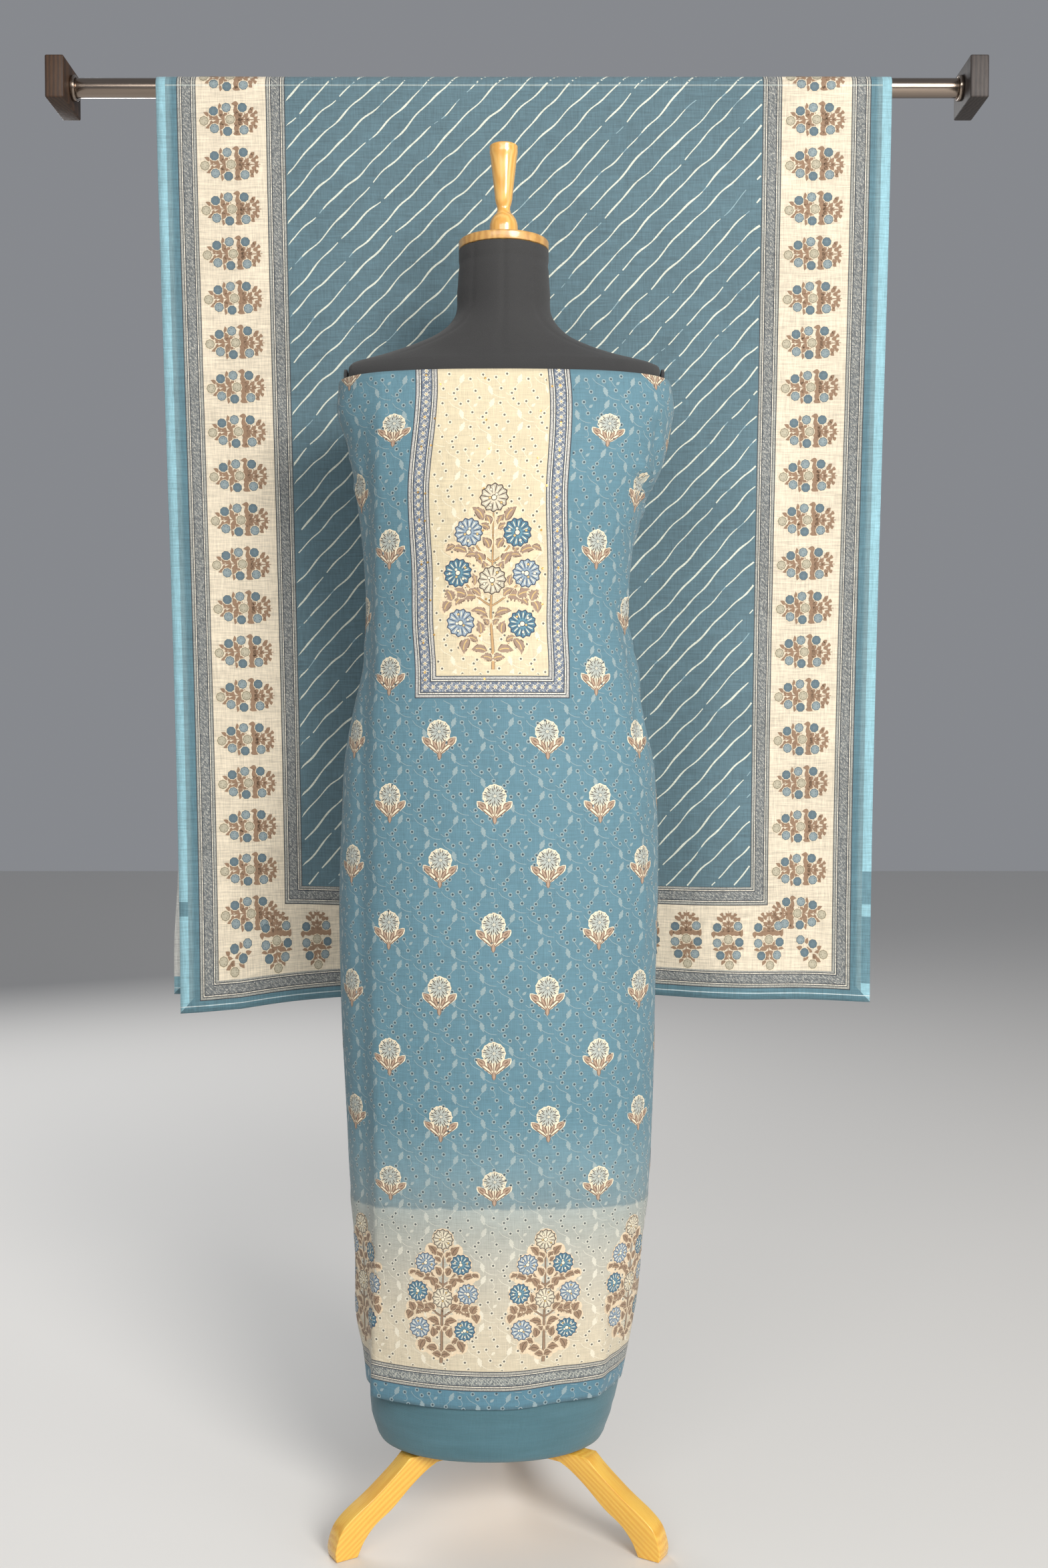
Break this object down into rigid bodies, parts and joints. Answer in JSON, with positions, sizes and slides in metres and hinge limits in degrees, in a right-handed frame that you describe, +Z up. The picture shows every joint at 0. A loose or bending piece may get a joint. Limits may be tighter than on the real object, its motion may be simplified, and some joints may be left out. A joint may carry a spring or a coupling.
{
  "type": "unstitched salwar kameez suit on a limbless dress form, with its dupatta on a wall-held rod",
  "caption": "Unstitched salwar kameez suit: printed kameez cloth and plain salwar cloth wrapped on a legged dress form, with its bordered dupatta hung over a rod behind.",
  "frame": {"origin": "on the floor, under the middle of the whole set's box", "axes": "+Z up; +Y away from the viewer, from the form towards the rod; +X to the viewer's right"},
  "size_m": [1.228, 0.3668, 1.848],
  "materials": {
    "kameez_cloth": "slubbed silk blend, printed and tone on tone embroidered",
    "salwar_cloth": "plain, soft sheen",
    "dupatta_cloth": "thin slubbed weave, printed borders",
    "black_jersey": "matt knitted jersey",
    "pine": "clear varnish",
    "neck_wood": "varnished",
    "finial_wood": "gloss varnish",
    "brushed_steel": "brushed along its length",
    "walnut": "oiled",
    "dark_wood": "dark stained"
  },
  "bodies": {
    "root": {"kameez": "kameez_cloth", "salwar": "salwar_cloth", "dupatta": "dupatta_cloth", "form_body": "black_jersey", "arm_plate_left": "black_jersey", "arm_plate_right": "black_jersey", "neck_cap": "neck_wood", "finial": "finial_wood", "base_disc": "pine", "leg_left": "pine", "leg_right": "pine", "leg_rear": "pine", "rod": "brushed_steel", "flange_left": "brushed_steel", "flange_right": "brushed_steel", "wall_plate_left": "walnut", "wall_plate_right": "dark_wood"}
  },
  "joints": []
}
